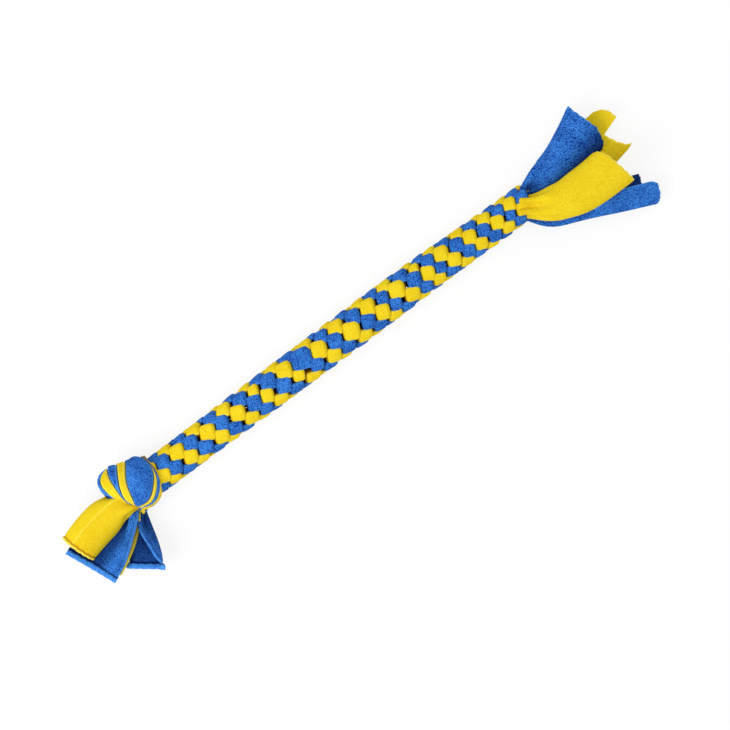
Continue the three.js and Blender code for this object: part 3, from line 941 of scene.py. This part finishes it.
    def band(self, place: int) -> Surface:
        """One strip's two turns, as a band with a crowned face and tucked edges.

        Across the band v goes from 0 to 1: the face stands out by the crown times
        1 - |2v - 1|^2.4 and drops by the tuck times |2v - 1|^9 at its edges. Slight waves are a
        sine of the turn and of v. The closed section runs over the face and back underneath.

        Args:
            place: the strip's place in the knot, from the braid outwards.

        Returns:
            The band's surface.
        """
        total = 2 * self.turn_angle + self.climb_angle
        turned = np.linspace(0, total, self.steps)[:, None]
        start = self.climb_centre + self.climb_angle / 2 + turned
        climb = eased(self.turn_angle, self.turn_angle + self.climb_angle, turned)
        face = self.across
        back = self.across // 2
        v = (1 - np.cos(np.linspace(0, math.pi, face))) / 2
        under = np.linspace(1, 0, back + 2)[1:-1]
        section = np.concatenate([v, under])[None, :]
        top = np.concatenate([np.ones(face), np.zeros(back)])[None, :]
        x, angle = self.placed(place, section, start, climb)
        span = np.hypot(
            x[:, face - 1] - x[:, 0], (angle[:, face - 1] - angle[:, 0]) * self.fan_radius
        )[:, None]
        edge = np.abs(2 * section - 1)
        broad = np.clip(span / self.usual_breadth, *self.breadth_limits)
        by_turn, by_section, by_place = self.wave_turns
        waves = np.sin(start * by_turn + section * by_section + place * by_place)
        waves = self.wave * broad * waves * np.sin(section * math.pi)
        out = self.outer(x, angle)
        drop = self.edge_drop + self.tuck * np.minimum(broad, self.tuck_breadth)
        lifted = out + self.crown * broad * (1 - edge**self.crown_power) + waves
        lifted = lifted - drop * edge**self.tuck_power
        r = np.where(top > 0, lifted, np.maximum(out - self.band_depth, self.inner(x)))
        cy, cz = self.core(x)
        points = np.stack([x, cy + r * np.cos(angle), cz + r * np.sin(angle)], axis=-1)
        margin = np.minimum(section, 1 - section) * span
        # Painted highlight just inside the band's edges, painted shade on them and on its back.
        fray = bell(margin - self.pale_at, self.pale_width) * top * self.pale
        fold = bell(margin, self.dark_width) * self.dark + (1 - top) * self.back_shade
        return Surface(grounded(points), points, fray, np.clip(fold, 0, 1))

    def heart(self, place: int) -> Surface:
        """One strip's way through the knot's middle, a quarter of the knot's section, sunk under it.

        Each ring is an arc of the ellipse, less the depth that it is sunk, and its way back near
        the middle. Both ends close by the root of 1 - |2t - 1|^6.

        Args:
            place: the strip's place in the knot, from the braid outwards.

        Returns:
            The quarter's surface.
        """
        t = np.linspace(self.heart_open, 1 - self.heart_open, self.heart_rows)[:, None]
        x = self.near_x - self.heart_from - (self.heart_to - self.heart_from) * t
        middle, half, high = self.ellipse(x)
        closing = np.sqrt(1 - np.abs(2 * t - 1) ** self.heart_closing)
        over = self.heart_overlap
        arc = np.linspace(-over, 1 + over, self.heart_columns)[None, :]
        angle = (place + np.concatenate([arc, arc[:, ::-1]], axis=1)) * QUARTER
        outer = np.where(np.arange(2 * self.heart_columns) < self.heart_columns, 1, self.heart_middle)
        by_angle, by_x = self.gather_turns
        gathers = self.gather * np.sin(angle * by_angle + x * by_x) * outer
        y = middle + np.cos(angle) * (half - self.heart_sunk + gathers) * outer * closing
        z = self.centre_z + np.sin(angle) * (high - self.heart_sunk + gathers) * outer * closing
        points = np.stack([np.broadcast_to(x, y.shape), y, z], axis=-1)
        # The hidden middle gets painted shade all over.
        return Surface(grounded(points), points, 0 * y, 0 * y + self.heart_shade)

    def build(self, finishes: Finishes) -> None:
        """Makes the knot's four bands and their way through it, which ride on the knot's end.

        Args:
            finishes: each fleece's material.
        """
        for place, strip in enumerate(self.order):
            inside = self.heart(place).piece(f"heart_{strip.label}", strip, finishes)
            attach(inside, "knot_end")
            made = self.band(place).piece(f"wrap_{strip.label}", strip, finishes)
            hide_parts(f"knot_{strip.label}")
            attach(made, "knot_end")
            log.info("knot turn %d: %s", place + 1, strip.label)


# The loose ends


Table = tuple[tuple[float, float], ...]


def along(table: Table, share: np.ndarray, window: float = 0.06) -> np.ndarray:
    """A table's value at each share of the length, smoothed over a window to either side.

    The mean of the values at the share itself and a window before and after it.

    Args:
        table: rows of a share and a value.
        share: where to read it.
        window: how far before and after.

    Returns:
        The values.
    """
    places, values = np.array(table, float).T
    return sum(np.interp(share + shift, places, values) for shift in (0, -window, window)) / 3


@dataclass
class LooseEnd:
    """A strip's free end: gathered in pleats at its root, opening into a smooth curled sheet.

    Headings and climbs are the way it runs, and rolls its turn about that way, in degrees. Width
    shares say how much of the strip's width shows as a straight line across it. Near the root the
    pleats take up the part that gathered gives, which fades out at the share that pleated gives,
    and the curl takes up the rest. Arch is how steeply the curl grows towards the sides. Where
    folds gives a place across the sheet, the cloth beyond it is turned over onto the sheet, by the
    degrees of fold_turns, and mirrored swaps the sheet's two sides. Cut is how far the cut end
    falls short and shades how much painted shade the cloth gets, both by the place across from -1
    to 1. Lip is how much thicker the rolled border at the cut end is. A ridge is a bend of that
    many radians at ridge_at, and the field after ridge_at sets how strong the painted highlight
    along its crest is.
    """

    strip: Strip
    end: End
    root: tuple[float, float, float]
    length: float
    headings: Table
    climbs: Table
    width_shares: Table
    rolls: Table = ((0, 0), (1, 0))
    arch: float = 1.5
    pleats: float = 2.5
    pleated: float = 0.36
    gathered: float = 1.0
    folds: Table | None = None
    fold_turns: Table = ((0, 180), (1, 180))
    fold_softness: float = 0.14
    mirrored: bool = False
    cut: Table = ((-1, 0), (1, 0))
    ridge: float = 0.0
    ridge_at: float = 0.0
    painted_ridge_highlight: float = 0.0
    ridge_softness: float = 0.06
    ridge_rise: tuple[float, float] = (0.12, 0.3)
    crest_rise: tuple[float, float] = (0.2, 0.35)
    crest_width: float = 0.022
    lip: float = 0.0
    # The rolled border's length, slope and how frayed it is, and the seam that it ends at, whose
    # darkness is painted shade.
    lip_length: float = 0.0062
    lip_slope: float = 0.0012
    lip_fray: float = 0.36
    seam_width: float = 0.0011
    seam_depth: float = 0.0007
    seam_shade: float = 0.8
    # The frayed edges: how wide, and how much.
    cut_width: float = 0.0012
    cut_fray: float = 0.7
    side_width: float = 0.0008
    side_fray: float = 0.5
    # Painted shade by the place across, rising over the first share of the length; painted shade at
    # the root, fading over its own share.
    shades: Table = ((-1, 0), (1, 0))
    shade_rise: float = 0.15
    root_shade: float = 0.5
    root_shade_length: float = 0.09
    # Near the root the cloth is pressed thinner, up to a share of the length.
    pressed: float = 0.45
    pressed_to: float = 0.3
    # The cut end's small waves: their height, then for each sine its size, turns and start.
    wavy: float = 0.0003
    wave_sines: tuple[tuple[float, float, float], ...] = ((1, 23, 900), (0.6, 51, 300))
    # The largest pleats and curl that are tried, and how many in between.
    most_pleating: float = 2.25
    pleating_tries: int = 60
    most_curl: float = 330
    curl_tries: int = 67
    back: float = 0.005
    strip_width: float = 0.058
    thickness: float = 0.0030
    rows: int = 110
    columns: int = 121
    # The columns stand closer at the sides, by this power.
    side_crowding: float = 0.92
    lift_window: int = 9
    # Rows are read off between two neighbours, so the last place lies just short of the last row.
    short_of_last: float = 1e-4
    # How far apart the nap's pattern starts: for each strip, for a rolled border, for the back.
    strip_apart: float = 0.1
    border_apart: float = 0.05
    back_apart: float = 0.02
    # A row belongs to the rolled border from one share of its thickness, to the sheet up to one.
    border_from: float = 0.4
    sheet_to: float = 0.3
    steepest_side: float = 0.995
    steepest_end: float = 0.99

    @property
    def name(self) -> str:
        """The end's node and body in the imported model."""
        return f"{self.end.value}_{self.strip.label}"

    def path(self) -> tuple[np.ndarray, np.ndarray, np.ndarray]:
        """The middle line, a little behind the hinge to the cut end, by adding up short steps.

        Returns:
            The share of the length at each row, the points and the directions.
        """
        share = np.linspace(-self.back / self.length, 1, self.rows)
        heading = np.radians(along(self.headings, np.maximum(share, 0)))
        climb = np.radians(along(self.climbs, np.maximum(share, 0)))
        way = np.stack(
            [np.cos(heading) * np.cos(climb), np.sin(heading) * np.cos(climb), np.sin(climb)],
            axis=-1,
        )
        step = (share[1] - share[0]) * self.length
        mid = (way[1:] + way[:-1]) / 2 * step
        line = np.concatenate([np.zeros((1, 3)), np.cumsum(mid, axis=0)])
        zero = np.array([np.interp(0, share, line[:, k]) for k in range(3)])
        return share, line - zero + np.array(self.root), way

    def section(self, share: np.ndarray, q: np.ndarray) -> tuple[np.ndarray, np.ndarray]:
        """The sheet's section at each row, from its slope along the cloth.

        The slope is the curl over 2 times |q|^arch, plus a sine wave for the pleats. The width
        that has to show is a product of two powers: the pleats' size is found from the first and
        the curl from the second. Adding up the cosines and sines of the slope gives the section,
        so the cloth keeps its width. A ridge and a folded-over part each add their own bend to the
        slope.

        Args:
            share: the share of the length at each row.
            q: places across the cloth, from -1 to 1.

        Returns:
            Across and raised, one row for each share.
        """
        rows = np.clip(share, 0, 1)
        wanted = along(self.width_shares, rows)
        sizes = np.linspace(0, self.most_pleating, self.pleating_tries)
        wave = np.sin(math.pi * self.pleats * q)
        arch = np.sign(q) * np.abs(q) ** self.arch
        taken = self.gathered * (1 - eased(0.0, self.pleated, rows))
        narrowed = np.cos(sizes[:, None] * wave).mean(1)
        size = np.interp(-(np.minimum(wanted, 1) ** taken), -narrowed, sizes)
        turns = np.linspace(0, self.most_curl, self.curl_tries)
        bent = np.radians(turns)[:, None, None] / 2 * arch[None, None, :]
        shown = np.cos((size[:, None] * wave)[None] - bent).mean(2)
        reachable = np.minimum.accumulate(shown, axis=0)
        curl = [np.interp(-w, -reachable[:, k], turns) for k, w in enumerate(wanted)]
        curl = np.radians(curl)[:, None]
        slope = -curl / 2 * arch + size[:, None] * wave
        soft = self.ridge_softness
        sided = eased(self.ridge_at - soft, self.ridge_at + soft, q) - 0.5
        slope = slope - self.ridge * sided * eased(*self.ridge_rise, rows)[:, None]
        if self.folds:
            place = along(self.folds, rows)[:, None]
            soft = self.fold_softness
            over = eased(place - soft, place + soft, q[None])
            turn = np.radians(along(self.fold_turns, rows))[:, None]
            slope = slope + (curl / 2 * arch + turn) * over
        half = self.strip_width / 2
        dq = np.diff(q) * half
        mean = (slope[:, 1:] + slope[:, :-1]) / 2
        start = np.zeros((len(share), 1))
        across = np.concatenate([start, np.cumsum(np.cos(mean) * dq, axis=1)], axis=1)
        raised = np.concatenate([start, np.cumsum(np.sin(mean) * dq, axis=1)], axis=1)
        across = across - (across.min(1) + across.max(1))[:, None] / 2
        return (-across if self.mirrored else across), raised - raised.mean(1)[:, None]

    def cutback(self, q: np.ndarray) -> np.ndarray:
        """How far the cut end falls short of the full length at each place across the cloth."""
        places, short = np.array(self.cut, float).T
        return np.interp(q, places, short)

    def laid(self, share: np.ndarray, q: np.ndarray) -> np.ndarray:
        """The sheet's middle at even shares of the length, rolled, and raised from the floor.

        Where a row would lie under the floor it is raised, and its neighbours with it, by a
        moving mean.

        Args:
            share: the share of the length at each row.
            q: places across the cloth, from -1 to 1.

        Returns:
            The points, one row for each share.
        """
        _, line, way = self.path()
        across, raised = self.section(share, q)
        side = np.cross((0, 0, 1), way)
        side /= np.linalg.norm(side, axis=1)[:, None]
        normal = np.cross(way, side)
        roll = np.radians(along(self.rolls, np.clip(share, 0, 1)))[:, None]
        sideways = across * np.cos(roll) - raised * np.sin(roll)
        upward = across * np.sin(roll) + raised * np.cos(roll)
        even = (
            line[:, None]
            + side[:, None] * sideways[..., None]
            + normal[:, None] * upward[..., None]
        )
        low = np.maximum(self.thickness / 2 - even[..., 2].min(1), 0)
        window = np.ones(self.lift_window) / self.lift_window
        low = np.pad(low, self.lift_window // 2, mode="edge")
        even[..., 2] += np.convolve(low, window, mode="valid")[:, None]
        return even

    def surface(self) -> Surface:
        """The sheet as a closed shell: its upper face, and its lower face back again.

        Rows are first laid at even shares, then each place across the cloth is read off as far
        along as its cut end allows. The cloth's edges are rounded like a circle.

        Returns:
            The surface.
        """
        q = np.linspace(-1, 1, self.columns)
        q = np.sign(q) * np.abs(q) ** self.side_crowding
        share = self.path()[0]
        even = self.laid(share, q)
        ragged = self.wavy * sum(
            size * np.sin(q * turns + self.length * begin) for size, turns, begin in self.wave_sines
        )
        kept = 1 - (self.cutback(q) + ragged) / self.length
        at = share[:, None] * np.where(share[:, None] > 0, kept[None], 1)
        last = self.rows - 1 - self.short_of_last
        index = np.clip((at - share[0]) / (share[1] - share[0]), 0, last)
        below = index.astype(int)
        part = (index - below)[..., None]
        column = np.arange(self.columns)[None]
        middle = even[below, column] * (1 - part) + even[below + 1, column] * part
        facing = np.cross(np.gradient(middle, axis=0), np.gradient(middle, axis=1))
        facing /= np.maximum(np.linalg.norm(facing, axis=-1), TINY)[..., None]
        half = self.thickness / 2
        margin = self.strip_width / 2 * (1 - np.abs(q))[None]
        to_end = ((1 - share) * self.length)[:, None]
        from_root = (share - share[0])[:, None] * self.length
        rim = (
            rounded(margin, half, self.steepest_side)
            * rounded(to_end, half + self.lip / 3, self.steepest_end)
            * rounded(from_root, half, self.steepest_end)
        )
        seam = bell(to_end - self.lip_length, self.seam_width) * (self.lip > 0)
        lip = self.lip * eased(-self.lip_length, self.lip_slope - self.lip_length, -to_end)
        pressed = 1 - self.pressed * (1 - eased(0.0, self.pressed_to, at))
        offset = (half * pressed + lip / 2 - self.seam_depth * seam) * rim
        fray, fold = self.looks(q, at, to_end, lip, seam)
        width = np.broadcast_to(q[None] * self.strip_width / 2, at.shape)
        apart = self.strip_apart * self.strip.value + (self.border_apart if self.lip else 0)
        flat = np.stack([width, at * self.length, np.full(at.shape, apart)], axis=-1)
        upper = middle + facing * offset[..., None]
        lower = middle - facing * offset[..., None]
        underneath = np.array([0, 0, self.back_apart])
        return Surface(
            grounded(np.concatenate([upper, lower[:, ::-1]], axis=1)),
            np.concatenate([flat, flat[:, ::-1] + underneath], axis=1),
            np.concatenate([fray, fray[:, ::-1]], axis=1),
            np.concatenate([fold, fold[:, ::-1]], axis=1),
        )

    def looks(
        self, q: np.ndarray, at: np.ndarray, to_end: np.ndarray, lip: np.ndarray, seam: np.ndarray
    ) -> tuple[np.ndarray, np.ndarray]:
        """How frayed and highlighted the cloth is, and how much painted shade it gets.

        Cut end and sides are frayed, and the ridge's crest gets a painted highlight, each by a bell
        curve of the distance to it, and a rolled border is frayed evenly. The root, the border's seam
        and the shades across the sheet get painted shade.

        Args:
            q: places across the cloth, from -1 to 1.
            at: the share of the length at each point.
            to_end: the distance to the cut end at each row.
            lip: how much thicker the border is at each row.
            seam: how near each row is to the border's seam, from 0 to 1.

        Returns:
            How frayed and highlighted, and how much painted shade, each from 0 to 1.
        """
        margin = self.strip_width / 2 * (1 - np.abs(q))[None]
        ends = bell(to_end, self.cut_width) * self.cut_fray
        if self.lip:
            ends = np.where(lip > self.border_from * self.lip, self.lip_fray, ends)
        sides = bell(margin, self.side_width) * self.side_fray
        # Painted highlight along the ridge's crest.
        crest = self.painted_ridge_highlight * bell(q - self.ridge_at, self.crest_width)[None]
        fray = ends + sides + crest * eased(*self.crest_rise, at)
        # Painted shade at the root, on the border's seam and across the sheet.
        fold = self.root_shade * bell(np.maximum(at, 0), self.root_shade_length)
        places, dark = np.array(self.shades, float).T
        sheet = lip <= self.sheet_to * self.lip
        painted_shade_across = np.interp(q, places, dark)[None] * eased(0.0, self.shade_rise, at) * sheet
        return np.clip(fray, 0, 1), np.clip(fold + seam * self.seam_shade + painted_shade_across, 0, 1)

    def build(self, finishes: Finishes) -> None:
        """Makes the sheet, which rides on its own body.

        Args:
            finishes: each fleece's material.
        """
        made = self.surface().piece(f"loose_{self.name}", self.strip, finishes)
        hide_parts(self.name)
        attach(made, self.name)
        log.info("%s: %.0f mm long", self.name, self.length * 1000)


def tails() -> list[LooseEnd]:
    """The four tails, which leave the knot one above the other.

    Returns:
        The tails, the lowest first.
    """
    exit_place = np.array([-0.2525, -0.0100, 0.0014])
    level = 0.0082

    def root(place: int) -> tuple[float, float, float]:
        """The middle of the exit at that level, inside the knot."""
        return tuple(exit_place + np.array([0, 0, (place + 0.5) * level]))

    return [
        LooseEnd(
            strip=Strip.BLUE_B,
            end=End.TAIL,
            root=root(0),
            length=0.070,
            headings=((0, 245), (0.6, 239), (1, 232)),
            climbs=((0, -3), (1, 0)),
            width_shares=(
                (0, 0.12), (0.18, 0.16), (0.44, 0.34), (0.67, 0.52), (0.89, 0.6), (1, 0.62),
            ),
            arch=2.0,
            pleats=2.0,
            pleated=0.8,
            folds=((0, 0.2), (1, 0.4)),
            fold_turns=((0, 170), (0.4, 165), (0.75, 120), (1, 65)),
            shades=((-1, 0.7), (0.3, 0.6), (0.62, 0.15), (1, 0.1)),
            lip=0.0018,
        ),
        LooseEnd(
            strip=Strip.YELLOW_A,
            end=End.TAIL,
            root=root(1),
            length=0.079,
            headings=((0, 207), (0.25, 206), (0.4, 201), (0.6, 199), (1, 199)),
            climbs=((0, -1), (1, -1)),
            width_shares=(
                (0, 0.08), (0.11, 0.17), (0.3, 0.43), (0.47, 0.62), (0.65, 0.74), (1, 0.87),
            ),
            rolls=((0, 180), (1, 180)),
            pleats=3.0,
            pleated=3.0,
            cut=((-1, 0.007), (-0.4, 0), (1, 0)),
            shades=((-1, 0), (-0.9, 0.1), (-0.6, 0.3), (1, 0.3)),
        ),
        LooseEnd(
            strip=Strip.BLUE_A,
            end=End.TAIL,
            root=root(2),
            length=0.084,
            headings=((0, 194), (0.5, 198), (1, 203)),
            climbs=((0, -2), (1, -2)),
            width_shares=(
                (0, 0.1), (0.08, 0.19), (0.24, 0.46), (0.36, 0.58), (0.5, 0.74), (0.72, 0.95), (1, 1),
            ),
            rolls=((0, 180), (1, 180)),
            pleats=3.0,
            pleated=0.7,
            shades=(
                (-1, 0.2), (-0.8, 0.15), (-0.72, 0), (-0.55, 0.05), (-0.3, 0.6), (0.1, 0.9), (1, 0.9),
            ),
            lip=0.0020,
        ),
        LooseEnd(
            strip=Strip.YELLOW_B,
            end=End.TAIL,
            root=root(3),
            length=0.081,
            headings=((0, 148), (0.17, 165), (0.3, 182), (0.6, 190), (1, 198)),
            climbs=((0, 8), (0.3, 0), (1, -3)),
            width_shares=((0, 0.12), (0.17, 0.29), (0.3, 0.5), (0.45, 0.68), (0.7, 0.69), (1, 0.66)),
            arch=1.0,
            pleats=3.5,
            pleated=0.35,
            gathered=0.3,
            ridge=0.25,
            ridge_at=-0.24,
            painted_ridge_highlight=0.4,
            shades=((-1, 0), (-0.28, 0), (-0.2, 0.14), (1, 0.14)),
            lip=0.0008,
            lip_length=0.0035,
            root_shade=0.7,
        ),
    ]


def tassel_ends() -> list[LooseEnd]:
    """The four loose ends at the mouth, each from its own place round the braid.

    Returns:
        The ends, in the strips' order.
    """
    return [
        LooseEnd(
            strip=Strip.YELLOW_A,
            end=End.TASSEL,
            root=(0.2310, -0.003, 0.0084),
            length=0.130,
            headings=((0, 2), (1, 1)),
            climbs=((0, -3), (0.4, 0), (1, 5)),
            width_shares=((0, 0.2), (0.3, 0.5), (0.6, 0.84), (1, 1)),
            cut=(
                (-1, 0.036), (-0.88, 0.021), (-0.8, 0.011), (-0.72, 0.004), (-0.6, 0.010),
                (-0.31, 0.0155), (0.1, 0.021), (0.34, 0), (0.7, 0.003), (0.87, 0.008), (1, 0.016),
            ),
        ),
        LooseEnd(
            strip=Strip.BLUE_A,
            end=End.TASSEL,
            root=(0.2310, -0.0150, 0.0200),
            length=0.138,
            headings=((0, -56), (0.12, -47), (0.24, -14), (0.6, -20), (1, -23)),
            climbs=((0, -24), (0.3, -8), (0.5, 0), (1, 0)),
            width_shares=((0, 0.3), (0.147, 0.4), (0.35, 0.57), (0.68, 0.86), (1, 1)),
            mirrored=True,
            pleated=0.8,
            folds=((0, 0.3), (1, 0.18)),
            fold_turns=((0, 168), (1, 172)),
            fold_softness=0.15,
            shades=((-1, 0.85), (-0.2, 0.85), (0.1, 0), (1, 0)),
            cut=(
                (-1, 0.0155), (-0.3, 0.0155), (0, 0.011), (0.12, 0.008), (0.24, 0.004),
                (0.38, 0.001), (0.6, 0), (0.88, 0.0005), (0.96, 0.003), (1, 0.007),
            ),
        ),
        LooseEnd(
            strip=Strip.YELLOW_B,
            end=End.TASSEL,
            root=(0.2330, -0.0075, 0.0300),
            length=0.108,
            headings=((0, -40), (0.2, -26), (0.5, -6), (0.75, 2), (1, 4)),
            climbs=((0, 22), (0.2, 9), (0.5, -1), (1, -4)),
            width_shares=((0, 0.20), (0.1, 0.25), (0.25, 0.41), (0.5, 0.68), (1, 0.78)),
            pleats=3.5,
            pleated=0.35,
            gathered=0.25,
            root_shade=0.2,
            cut=((-1, 0), (0.4, 0.006), (0.8, 0.010), (1, 0.017)),
        ),
        LooseEnd(
            strip=Strip.BLUE_B,
            end=End.TASSEL,
            root=(0.2350, 0.0035, 0.0150),
            length=0.103,
            headings=((0, 5), (0.3, 4), (0.6, 14), (1, 17)),
            climbs=((0, 4), (1, 2)),
            width_shares=((0, 0.2), (0.12, 0.32), (0.35, 0.48), (0.6, 0.66), (0.85, 0.84), (1, 0.98)),
            rolls=((0, -12), (1, -6)),
            arch=1.2,
            shades=((-1, 1), (-0.6, 0.75), (-0.1, 0.1), (0.1, 0), (1, 0)),
            cut=((-1, 0.014), (-0.8, 0.008), (-0.3, 0.001), (0.3, 0.001), (0.8, 0.001), (1, 0)),
        ),
    ]


# The studio


@dataclass
class Studio:
    """A plain pale floor, soft lamps and the camera straight above the toy."""

    turn: float = math.radians(-36.83)
    view_centre: tuple[float, float] = (0.0097, -0.0379)
    view_width: float = 0.730
    view_height: float = 4.5
    toy_height: float = 0.018
    sensor: float = 36.0
    clip_end: float = 50
    floor_size: float = 12.0
    floor_drop: float = 0.0002
    floor_tone: float = 0.93
    floor_roughness: float = 0.9
    floor_whitening: float = 0.82
    world_light: float = 0.62
    # Name, place along the picture's right and up, height, side in metres and power in watts.
    lamp_list: tuple[tuple[str, float, float, float, float, float], ...] = (
        ("key", -1.3, -1.0, 1.5, 1.2, 30),
        ("fill", 1.2, 1.0, 1.8, 1.8, 14),
    )

    def build(self) -> None:
        """Makes the camera, the floor, the lamps and the world."""
        self.camera()
        self.floor()
        self.lamps()
        bpy.context.scene.view_settings.view_transform = "Standard"
        log.info("studio: camera %.2f m above the toy", self.view_height)

    def camera(self) -> None:
        """The camera, which looks straight down, turned as the photograph is."""
        data = bpy.data.cameras.new("camera")
        data.sensor_width = self.sensor
        data.lens = self.sensor * (self.view_height - self.toy_height) / self.view_width
        data.clip_end = self.clip_end
        made = bpy.data.objects.new("camera", data)
        place = Matrix.Translation(Vector((*self.view_centre, self.view_height)))
        made.matrix_world = place @ Matrix.Rotation(self.turn, 4, "Z")
        bpy.context.scene.collection.objects.link(made)
        bpy.context.scene.camera = made

    def floor(self) -> None:
        """A pale floor just under the toy, which shows as plain white to the camera."""
        half = self.floor_size / 2
        corners = np.array([[-1, -1], [1, -1], [1, 1], [-1, 1]]) * half
        points = np.column_stack([corners, np.full(4, -self.floor_drop)])
        mesh = bpy.data.meshes.new("floor")
        mesh.from_pydata(points.tolist(), [], [(0, 1, 2, 3)])
        made = bpy.data.objects.new("floor", mesh)
        finish = bpy.data.materials.new("pale_floor")
        finish.use_nodes = True
        finish.node_tree.nodes.clear()
        sheet = NodeSheet(finish.node_tree)
        tone = (*[self.floor_tone] * 3, 1)
        shader = sheet.add(
            "ShaderNodeBsdfPrincipled",
            inputs={"Base Color": tone, "Roughness": self.floor_roughness},
        )
        white = sheet.add("ShaderNodeEmission", inputs={"Color": (1, 1, 1, 1), "Strength": 1.0})
        seen = [
            sheet.add("ShaderNodeLightPath", output=name)
            for name in ("Is Camera Ray", "Is Glossy Ray", "Is Transmission Ray")
        ]
        whitened = (seen[0] + seen[1] + seen[2]).clamped() * self.floor_whitening
        shown = sheet.add("ShaderNodeMixShader", inputs={0: whitened, 1: shader, 2: white})
        sheet.add("ShaderNodeOutputMaterial", inputs={"Surface": shown})
        mesh.materials.append(finish)
        bpy.context.scene.collection.objects.link(made)

    def lamp(self, name: str, place: tuple[float, float, float], size: float, power: float) -> None:
        """One soft square lamp that faces the toy's middle.

        Args:
            name: the lamp's name.
            place: where it stands.
            size: its side.
            power: its power in watts.
        """
        data = bpy.data.lights.new(name, "AREA")
        data.size = size
        data.energy = power
        made = bpy.data.objects.new(name, data)
        aim = Vector((*self.view_centre, 0)) - Vector(place)
        made.rotation_euler = aim.to_track_quat("-Z", "Y").to_euler()
        made.location = place
        bpy.context.scene.collection.objects.link(made)

    def lamps(self) -> None:
        """A key lamp to the picture's left and below, a fill opposite and a pale world."""
        cosine, sine = math.cos(self.turn), math.sin(self.turn)
        for name, right, up, height, size, power in self.lamp_list:
            x = self.view_centre[0] + right * cosine - up * sine
            y = self.view_centre[1] + right * sine + up * cosine
            self.lamp(name, (x, y, height), size, power)
        world = bpy.data.worlds.new("studio")
        world.use_nodes = True
        background = world.node_tree.nodes["Background"]
        background.inputs["Color"].default_value = (1, 1, 1, 1)
        background.inputs["Strength"].default_value = self.world_light
        bpy.context.scene.world = world


def main() -> None:
    """Builds the toy's pieces in order, then the studio."""
    logging.basicConfig(level=logging.INFO, format="%(name)s: %(message)s")
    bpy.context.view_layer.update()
    finishes = {fleece: fleece.material() for fleece in (YELLOW, BLUE)}
    braid = Braid()
    braid.build(finishes)
    Knot(braid).build(finishes)
    for end in tails() + tassel_ends():
        end.build(finishes)
    Studio().build()


if __name__ == "__main__":
    main()
